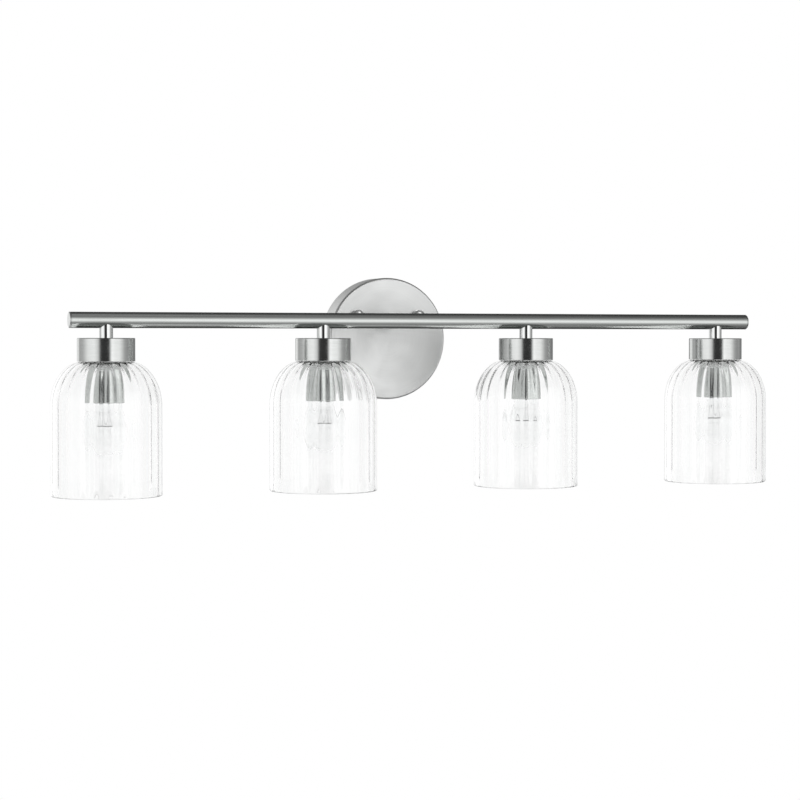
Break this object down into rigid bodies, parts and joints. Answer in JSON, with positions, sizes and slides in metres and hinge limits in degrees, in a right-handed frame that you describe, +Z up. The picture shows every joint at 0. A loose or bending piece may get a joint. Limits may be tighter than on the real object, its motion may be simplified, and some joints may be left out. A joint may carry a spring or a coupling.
{
  "type": "vanity light bar",
  "caption": "Wall-mounted vanity light bar: round bar on a round canopy, with clear ribbed glass bell shades hung open side down over screw-in bulbs.",
  "frame": {"origin": "centre of the wall plate's outlet-box screw pattern, on the wall plane", "axes": "+X along the bar to the right of a person facing the wall, +Y into the wall, +Z up"},
  "size_m": [0.782, 0.205, 0.2212],
  "materials": {
    "brushed_nickel": "fine brushed nickel plate",
    "polished_nickel": "polished nickel plate",
    "zinc_steel": "bright zinc plate",
    "green_screw": "green zinc passivation",
    "shade_glass": "clear blown glass with vertical optic ribs",
    "bulb_glass": "thin clear lamp glass",
    "bulb_stem_glass": "clear lamp stem glass with nickel leads",
    "bulb_base_metal": "bright aluminium with black insulator",
    "brass": "plain turned brass",
    "porcelain": "glazed white porcelain",
    "gasket": "pale fibre washer",
    "ring_aluminium": "satin turned aluminium",
    "black_insulation": "black wire insulation",
    "white_insulation": "white wire insulation",
    "bare_copper": "bare drawn copper",
    "orange_plastic": "moulded orange plastic"
  },
  "bodies": {
    "fixture": {"wall_plate": "zinc_steel", "mounting_studs": "zinc_steel", "cap_nut_left": "polished_nickel", "cap_nut_right": "polished_nickel", "ground_screw": "green_screw", "canopy": "brushed_nickel", "arm_tube": "brushed_nickel", "arm_nipple": "brass", "arm_nut": "zinc_steel", "bar_tube": "brushed_nickel", "end_plug_left": "brushed_nickel", "end_plug_right": "brushed_nickel", "lamp_nipples": "brass", "shade_gaskets": "gasket", "contact_tongues": "brass", "live_wires": "black_insulation", "neutral_wires": "white_insulation", "ground_wire": "bare_copper", "wire_connectors": "orange_plastic", "stem_1": "polished_nickel", "shade_holder_1": "brushed_nickel", "shade_1": "shade_glass", "shade_ring_1": "ring_aluminium", "socket_cup_1": "brushed_nickel", "lampholder_1": "porcelain", "screw_shell_1": "brass", "stem_2": "polished_nickel", "shade_holder_2": "brushed_nickel", "shade_2": "shade_glass", "shade_ring_2": "ring_aluminium", "socket_cup_2": "brushed_nickel", "lampholder_2": "porcelain", "screw_shell_2": "brass", "stem_3": "polished_nickel", "shade_holder_3": "brushed_nickel", "shade_3": "shade_glass", "shade_ring_3": "ring_aluminium", "socket_cup_3": "brushed_nickel", "lampholder_3": "porcelain", "screw_shell_3": "brass", "stem_4": "polished_nickel", "shade_holder_4": "brushed_nickel", "shade_4": "shade_glass", "shade_ring_4": "ring_aluminium", "socket_cup_4": "brushed_nickel", "lampholder_4": "porcelain", "screw_shell_4": "brass"},
    "bulb_1": {"bulb_glass_1": "bulb_glass", "bulb_base_1": "bulb_base_metal", "bulb_mount_1": "bulb_stem_glass"},
    "bulb_2": {"bulb_glass_2": "bulb_glass", "bulb_base_2": "bulb_base_metal", "bulb_mount_2": "bulb_stem_glass"},
    "bulb_3": {"bulb_glass_3": "bulb_glass", "bulb_base_3": "bulb_base_metal", "bulb_mount_3": "bulb_stem_glass"},
    "bulb_4": {"bulb_glass_4": "bulb_glass", "bulb_base_4": "bulb_base_metal", "bulb_mount_4": "bulb_stem_glass"}
  },
  "joints": [
    {"name": "bulb_1_out", "type": "slide", "parent": "fixture", "child": "bulb_1", "axis": [0, 0, -1], "range_m": [0, 0.14]},
    {"name": "bulb_2_out", "type": "slide", "parent": "fixture", "child": "bulb_2", "axis": [0, 0, -1], "range_m": [0, 0.14]},
    {"name": "bulb_3_out", "type": "slide", "parent": "fixture", "child": "bulb_3", "axis": [0, 0, -1], "range_m": [0, 0.14]},
    {"name": "bulb_4_out", "type": "slide", "parent": "fixture", "child": "bulb_4", "axis": [0, 0, -1], "range_m": [0, 0.14]}
  ]
}
